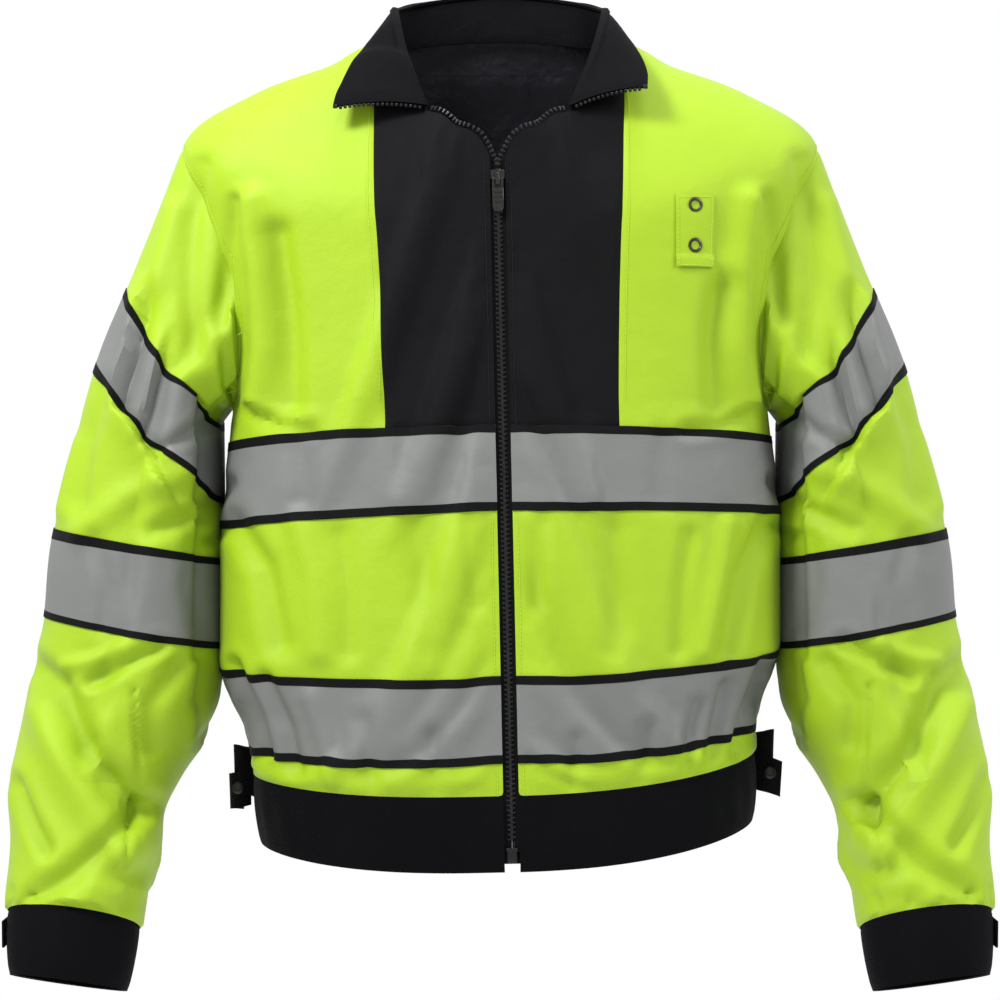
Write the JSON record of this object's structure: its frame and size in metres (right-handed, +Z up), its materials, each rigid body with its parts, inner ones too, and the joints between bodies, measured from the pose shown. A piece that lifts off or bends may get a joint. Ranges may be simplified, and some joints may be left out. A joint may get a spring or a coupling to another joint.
{
  "type": "high-visibility duty coat",
  "caption": "Waist-length hi-vis coat with reflective bands, black chest panels, zip front, turned-down collar and fitted cuffs",
  "frame": {"origin": "centre of the neck opening, level with the back neck seam, where a hanger or neck form carries the coat", "axes": "+Z up, -Y the coat's front, +X the wearer's left"},
  "size_m": [0.754, 0.2855, 0.7836],
  "materials": {
    "lime_shell": "smooth woven nylon, satin",
    "black_fabric": "matt woven fabric",
    "silver_tape": "retroreflective glass-bead tape, satin",
    "lining": "satin lining",
    "zip_plastic": "moulded acetal, satin",
    "zip_tape": "woven tape",
    "dark_metal": "dark enamelled zinc",
    "antique_metal": "antique nickel",
    "webbing": "woven webbing"
  },
  "bodies": {
    "torso": {"front_lower_left": "lime_shell", "front_lower_right": "lime_shell", "front_upper_left": "lime_shell", "front_upper_right": "lime_shell", "chest_panel_left": "black_fabric", "chest_panel_right": "black_fabric", "back_upper": "lime_shell", "back_lower": "lime_shell", "body_lining": "lining", "upper_tape_front_left": "silver_tape", "upper_tape_front_right": "silver_tape", "upper_tape_back": "silver_tape", "lower_tape_front_left": "silver_tape", "lower_tape_front_right": "silver_tape", "lower_tape_back": "silver_tape", "body_trims": "black_fabric", "waistband_front_left": "black_fabric", "waistband_front_right": "black_fabric", "waistband_back": "black_fabric", "collar_stand": "black_fabric", "collar_leaf_back": "black_fabric", "zip_tape_left": "zip_tape", "zip_tape_right": "zip_tape", "zip_teeth_left": "zip_plastic", "zip_teeth_right": "zip_plastic", "zip_retainer_box": "zip_plastic", "zip_insertion_pin": "zip_plastic", "badge_tab": "lime_shell", "badge_eyelets": "antique_metal"},
    "zip_slider": {"zip_slider_body": "dark_metal"},
    "zip_pull": {"zip_pull_tab": "dark_metal"},
    "leaf_left": {"collar_leaf_left": "black_fabric", "leaf_teeth_left": "zip_plastic"},
    "leaf_right": {"collar_leaf_right": "black_fabric", "leaf_teeth_right": "zip_plastic"},
    "sleeve_left_body": {"sleeve_cap_left": "lime_shell", "sleeve_upper_left": "lime_shell", "sleeve_upper_tape_left": "silver_tape", "sleeve_lower_tape_left": "silver_tape", "sleeve_trims_left": "black_fabric", "elbow_section_left": "lime_shell"},
    "sleeve_right_body": {"sleeve_cap_right": "lime_shell", "sleeve_upper_right": "lime_shell", "sleeve_upper_tape_right": "silver_tape", "sleeve_lower_tape_right": "silver_tape", "sleeve_trims_right": "black_fabric", "elbow_section_right": "lime_shell"},
    "forearm_left_body": {"forearm_left": "lime_shell", "forearm_lining_left": "lining", "cuff_left": "black_fabric", "cuff_tab_left": "black_fabric"},
    "forearm_right_body": {"forearm_right": "lime_shell", "forearm_lining_right": "lining", "cuff_right": "black_fabric", "cuff_tab_right": "black_fabric"},
    "tab_left": {"waist_tab_left": "webbing", "waist_tab_snap_left": "antique_metal"},
    "tab_right": {"waist_tab_right": "webbing", "waist_tab_snap_right": "antique_metal"}
  },
  "joints": [
    {"name": "zip_slide", "type": "slide", "parent": "torso", "child": "zip_slider", "axis": [0.0216, -0.0669, -0.9975], "range_m": [0, 0.479]},
    {"name": "pull_swing", "type": "hinge", "parent": "zip_slider", "child": "zip_pull", "pos_m": [-0.00178, -0.1198, -0.13727], "axis": [-0.9998, 0, -0.0217], "range_deg": [0, 150]},
    {"name": "collar_leaf_left", "type": "hinge", "parent": "torso", "child": "leaf_left", "pos_m": [0.05395, -0.09705, -0.081], "axis": [-0.2266, -0.6605, -0.7158], "range_deg": [0, 70]},
    {"name": "collar_leaf_right", "type": "hinge", "parent": "torso", "child": "leaf_right", "pos_m": [-0.05395, -0.09705, -0.081], "axis": [-0.2266, 0.6605, 0.7158], "range_deg": [0, 70]},
    {"name": "shoulder_left", "type": "hinge", "parent": "torso", "child": "sleeve_left_body", "pos_m": [0.235, 0, -0.15], "axis": [0, -1, 0], "range_deg": [0, 35], "deforming": ["sleeve_cap_left"]},
    {"name": "elbow_left", "type": "hinge", "parent": "sleeve_left_body", "child": "forearm_left_body", "pos_m": [0.297, -0.016, -0.535], "axis": [-1, 0, 0], "range_deg": [0, 60], "deforming": ["elbow_section_left"]},
    {"name": "shoulder_right", "type": "hinge", "parent": "torso", "child": "sleeve_right_body", "pos_m": [-0.235, 0, -0.15], "axis": [0, 1, 0], "range_deg": [0, 35], "deforming": ["sleeve_cap_right"]},
    {"name": "elbow_right", "type": "hinge", "parent": "sleeve_right_body", "child": "forearm_right_body", "pos_m": [-0.297, -0.016, -0.535], "axis": [-1, 0, 0], "range_deg": [0, 60], "deforming": ["elbow_section_right"]},
    {"name": "waist_tab_left", "type": "hinge", "parent": "torso", "child": "tab_left", "pos_m": [0.2, 0.007, -0.58], "axis": [0, 0, -1], "range_deg": [0, 60]},
    {"name": "waist_tab_right", "type": "hinge", "parent": "torso", "child": "tab_right", "pos_m": [-0.194, 0.007, -0.592], "axis": [0, 0, 1], "range_deg": [0, 60]}
  ]
}
